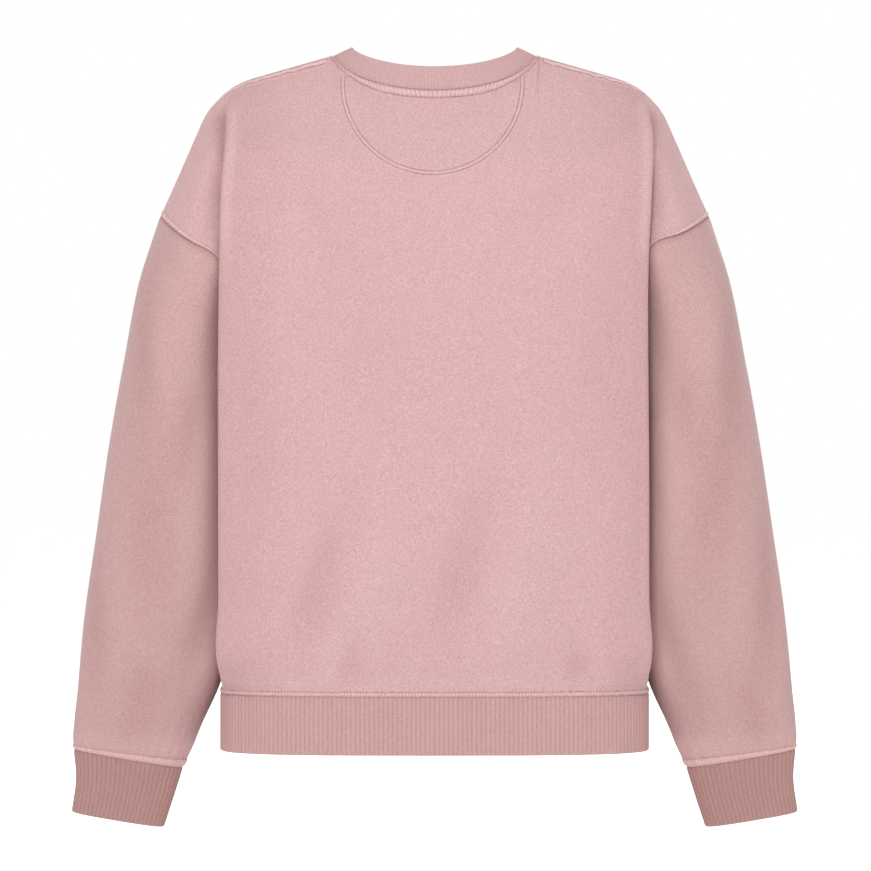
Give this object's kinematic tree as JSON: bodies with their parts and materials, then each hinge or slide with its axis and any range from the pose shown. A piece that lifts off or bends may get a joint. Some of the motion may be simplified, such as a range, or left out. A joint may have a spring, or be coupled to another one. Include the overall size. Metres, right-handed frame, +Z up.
{
  "type": "crewneck sweatshirt",
  "caption": "Dusty pink garment-dyed crewneck sweatshirt in heavy fleece, boxy with drop shoulders, ribbed collar, cuffs and hem, in its worn form",
  "frame": {"origin": "midway between the two points where the shoulder seams meet the collar, where the wearer's shoulders carry the garment", "axes": "+Z up, the front towards -Y, the wearer's left towards +X"},
  "size_m": [0.7072, 0.2303, 0.7581],
  "materials": {
    "fleece": "matt pigment-washed cotton fleece",
    "rib_knit": "matt pigment-washed rib knit"
  },
  "bodies": {
    "root": {"back_panel": "fleece", "front_panel": "fleece", "sleeve_left": "fleece", "sleeve_right": "fleece", "collar": "rib_knit", "cuff_left": "rib_knit", "cuff_right": "rib_knit", "hem_band": "rib_knit", "half_moon_facing": "fleece"}
  },
  "joints": []
}
